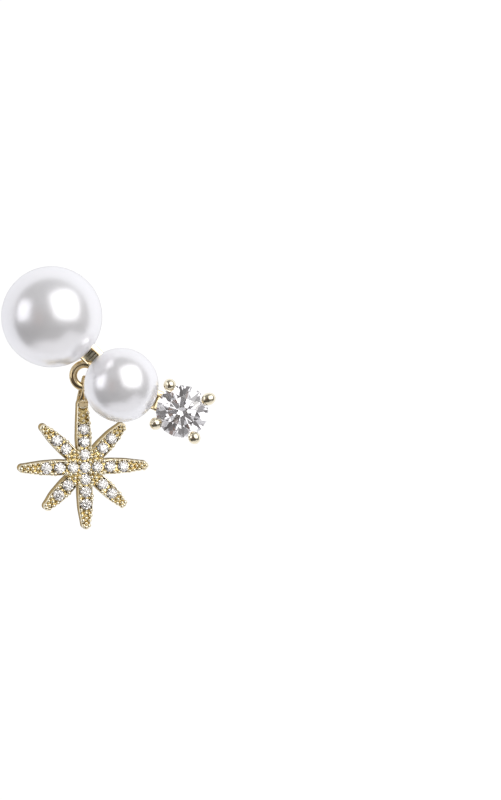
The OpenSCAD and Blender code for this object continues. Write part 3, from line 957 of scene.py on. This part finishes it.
def star_bail():
    """Loop of the star: seen from the side a drop with a drop-shaped hole, seen from the front
    a narrow strip that leans aside and is slit below."""
    belly, crown = (BELLY_AT, BELLY_H), (CROWN_AT, RING_H)
    eye = (EYE_AT, RING_H, EYE_R)
    foot = (BAIL_FOOT, STAR_BACK_H + BAIL_FOOT_R, BAIL_FOOT_R)

    def in_hole(x, y):
        return in_round(x, y, (*belly, BELLY_R), eye)

    def in_form(x, y):
        return (in_round(x, y, (*belly, BELLY_R + BAIL_WALL), (*crown, CROWN_R))
                or in_round(x, y, (*belly, BELLY_R + BAIL_WALL), foot))

    def squared(x):
        return math.copysign(abs(x) ** BAIL_SQUARE, x)

    rings = []
    for i in range(144):
        a = 2 * math.pi * i / 144
        direction = (math.cos(a), math.sin(a))
        inner = reach_of(BAIL_MIDDLE, direction, in_hole)
        outer = reach_of(BAIL_MIDDLE, direction, in_form)
        ring = []
        for k in range(32):
            b = 2 * math.pi * k / 32
            reach = (inner + outer) / 2 + (outer - inner) / 2 * squared(math.cos(b))
            height = BAIL_MIDDLE[0] + direction[0] * reach
            wide = lookup(height, BAIL_TAPER) * squared(math.sin(b))
            ring.append((bail_aside(height) + wide, height, BAIL_MIDDLE[1] + direction[1] * reach))
        rings.append(ring)
    bm = bmesh.new()
    skin(bm, rings, HANG_STAR, joined=True)
    # The bail wears the darker gold as painted shade
    piece = dressed(bm, "star_bail", "star", LINK_SHADE_GOLD, weighted=False)
    cut_slit(piece)
    # Faces that look to the left get the walls' darker gold as painted shade
    piece.data.materials.append(WALL_SHADE_GOLD)
    for face in piece.data.polygons:
        if face.normal.x < BAIL_SHADED:
            face.material_index = 1


def cut_slit(piece):
    """Cuts the tapered slit in the front of the bail."""
    bm = bmesh.new()
    skin(bm, [[(bail_aside(y) + x, y, h) for x, y in SLIT] for h in (SLIT_FROM, SLIT_TO)],
         HANG_STAR)
    bmesh.ops.recalc_face_normals(bm, faces=bm.faces)
    mesh = bpy.data.meshes.new("slit")
    bm.to_mesh(mesh)
    bm.free()
    cutter = bpy.data.objects.new("slit", mesh)
    bpy.context.scene.collection.objects.link(cutter)
    cut = piece.modifiers.new("slit", "BOOLEAN")
    cut.operation, cut.solver, cut.object = "DIFFERENCE", "EXACT", cutter
    worked_out = piece.evaluated_get(bpy.context.evaluated_depsgraph_get())
    slit = bpy.data.meshes.new_from_object(worked_out)
    piece.modifiers.clear()
    piece.data = slit
    slit.shade_smooth()
    slit.set_sharp_from_angle(angle=CREASE)
    bpy.data.objects.remove(cutter)


star_body()
star_grains()
star_bail()


# Cut stones
def finish_stones():
    """The cut stones keep their solids and get their finishes."""
    for name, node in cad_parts.items():
        if name == "main_stone" or name.startswith("star_stone"):
            for place in node.material_slots:
                place.material = MAIN_STONE if name == "main_stone" else SMALL_STONE


finish_stones()


# Studio, in metres
FLOOR_LEVEL = -0.1
FLOOR_RINGS = (0.5, 0.4, 0.3, 0.2, 0.1, 0.05, 0.001)
FLOOR_FADE = (0.2, 0.5)


def soft_window(tree, way, across, up, wide, tall, edge):
    """Mask of a round-cornered softbox far away. Its place and size are angles, from the
    camera's axis as seen from the earring, and its edge is the softer the larger the share."""
    a, e = math.radians(across), math.radians(up)
    ahead = (math.sin(a) * math.cos(e), -math.cos(a) * math.cos(e), math.sin(e))
    right = (math.cos(a), math.sin(a), 0)
    above = (-math.sin(a) * math.sin(e), math.cos(a) * math.sin(e), math.cos(e))

    def along(axis):
        return maths(tree, "DOT_PRODUCT", way, axis, node="ShaderNodeVectorMath").outputs["Value"]

    def worked(kind, first, second):
        return maths(tree, kind, first, second).outputs[0]

    def fourth_power(axis, size):
        share = worked("DIVIDE", worked("DIVIDE", along(axis), depth),
                       math.tan(math.radians(size / 2)))
        square = worked("MULTIPLY", share, share)
        return worked("MULTIPLY", square, square)

    depth = worked("MAXIMUM", along(ahead), 0.001)
    total = worked("ADD", fourth_power(right, wide), fourth_power(above, tall))
    return eased(tree, total, 1 + edge, 1 - edge)


def studio_world():
    """Light round the earring, while the camera itself sees plain white. The front is dim, with
    a dark patch round the camera, a dark low zone, a warm patch at the left, a low soft light
    at the right and the table's light from below. Behind stands a pale sheet. A wide softbox
    with a bright middle is at the right, and a narrower one at the left."""
    world = bpy.data.worlds.new("studio")
    bpy.context.scene.world = world
    world.use_nodes = True
    tree = world.node_tree
    tree.nodes.clear()
    way = put(tree, "ShaderNodeTexCoord").outputs["Generated"]
    parts = put(tree, "ShaderNodeSeparateXYZ", Vector=way)

    def ramp(axis, start, end):
        return eased(tree, parts.outputs[axis], start, end)

    def window(*angles, edge=0.3):
        return soft_window(tree, way, *angles, edge)

    room = layered(tree, (0.205, 0.197, 0.194, 1), [
        (ramp("Z", 0.3, 0.95), (0.30, 0.30, 0.30, 1)),
        (ramp("Y", -0.9, -0.98), (0.08, 0.073, 0.066, 1)),
        (ramp("Z", -0.12, -0.4), (0.085, 0.08, 0.075, 1)),
        (window(-29, -2, 18, 34, edge=0.8), (0.18, 0.115, 0.09, 1)),
        (window(75, -48, 60, 36, edge=0.8), (0.68, 0.67, 0.69, 1)),
        (ramp("Z", -0.72, -0.92), (0.81, 0.80, 0.82, 1)),
    ])
    sheet = layered(tree, (0.97, 0.97, 1.0, 1), [
        (ramp("Z", -0.6, 0.35), (0.96, 0.96, 0.99, 1)),
        (ramp("Y", 0.92, 0.985), (0.5, 0.5, 0.5, 1)),
    ])
    room = layered(tree, room, [
        (ramp("Y", 0.02, 0.2), sheet),
        (window(36, 27, 66, 70), (1.55, 1.54, 1.54, 1)),
        (window(36, 28, 26, 30, edge=0.6), (4.5, 4.4, 4.3, 1)),
        (window(-68, 12, 34, 40, edge=0.6), (1.55, 1.54, 1.6, 1)),
    ])
    path = put(tree, "ShaderNodeLightPath")
    # Light that comes through the stones is a little stronger and more even
    through = path.outputs["Is Transmission Ray"]
    room = blend_colours(tree, spread(tree, through, 0.0, 0.06), room, (0.9, 0.88, 0.93, 1))
    lit = put(tree, "ShaderNodeBackground", Color=room, Strength=spread(tree, through, 1.0, 1.2))
    seen = put(tree, "ShaderNodeBackground", Color=(1, 1, 1, 1), Strength=1.05)
    mix = tree.nodes.new("ShaderNodeMixShader")
    tree.links.new(path.outputs["Is Camera Ray"], mix.inputs[0])
    tree.links.new(lit.outputs[0], mix.inputs[1])
    tree.links.new(seen.outputs[0], mix.inputs[2])
    end = tree.nodes.new("ShaderNodeOutputWorld")
    tree.links.new(mix.outputs[0], end.inputs["Surface"])


def pale_floor():
    """Round floor well under the star, its edge fading into the white; from below it is clear."""
    bm = bmesh.new()
    lathe(bm, [(radius, FLOOR_LEVEL) for radius in FLOOR_RINGS], Matrix.Identity(4))
    mesh = bpy.data.meshes.new("floor")
    bm.to_mesh(mesh)
    bm.free()
    finish, tree, shader = blank_finish("floor_paper")
    where = put(tree, "ShaderNodeTexCoord").outputs["Object"]
    fibre = put(tree, "ShaderNodeTexNoise", Vector=where, Scale=400.0, Detail=4.0)
    pale = blend_colours(tree, fibre.outputs["Fac"], (0.86, 0.86, 0.86, 1), (0.9, 0.9, 0.9, 1))
    tree.links.new(pale, shader.inputs["Base Color"])
    flat = maths(tree, "MULTIPLY", where, (1, 1, 0), node="ShaderNodeVectorMath")
    far = maths(tree, "LENGTH", flat.outputs[0], node="ShaderNodeVectorMath")
    fade = eased(tree, far.outputs["Value"], *FLOOR_FADE, 1.0, 0.0)
    facing = put(tree, "ShaderNodeNewGeometry")
    top_side = maths(tree, "SUBTRACT", 1.0, facing.outputs["Backfacing"])
    shown = maths(tree, "MULTIPLY", fade, top_side.outputs[0])
    tree.links.new(shown.outputs[0], shader.inputs["Alpha"])
    shader.inputs["Roughness"].default_value = 0.9
    mesh.materials.append(finish)
    floor = bpy.data.objects.new("floor", mesh)
    floor.visible_glossy = False
    bpy.context.scene.collection.objects.link(floor)


studio_world()
pale_floor()

# Camera: the photograph's frame is 79.2 mm high at the depth between pearls and star
FRAME_MIDDLE = (0.01963, -0.004, -0.00822)
FRAME_TALL = 0.0792
CAMERA_AWAY = 1.0
SENSOR_W = 36
lens = bpy.data.cameras.new("camera")
lens.sensor_width = SENSOR_W
lens.lens = SENSOR_W * CAMERA_AWAY / FRAME_TALL
camera = bpy.data.objects.new("camera", lens)
camera.location = (FRAME_MIDDLE[0], FRAME_MIDDLE[1] - CAMERA_AWAY, FRAME_MIDDLE[2])
camera.rotation_euler = (math.pi / 2, 0, 0)
lens.clip_start, lens.clip_end = 0.01, 10
bpy.context.scene.collection.objects.link(camera)
bpy.context.scene.camera = camera
bpy.context.scene.view_settings.view_transform = "Standard"

bpy.context.view_layer.update()
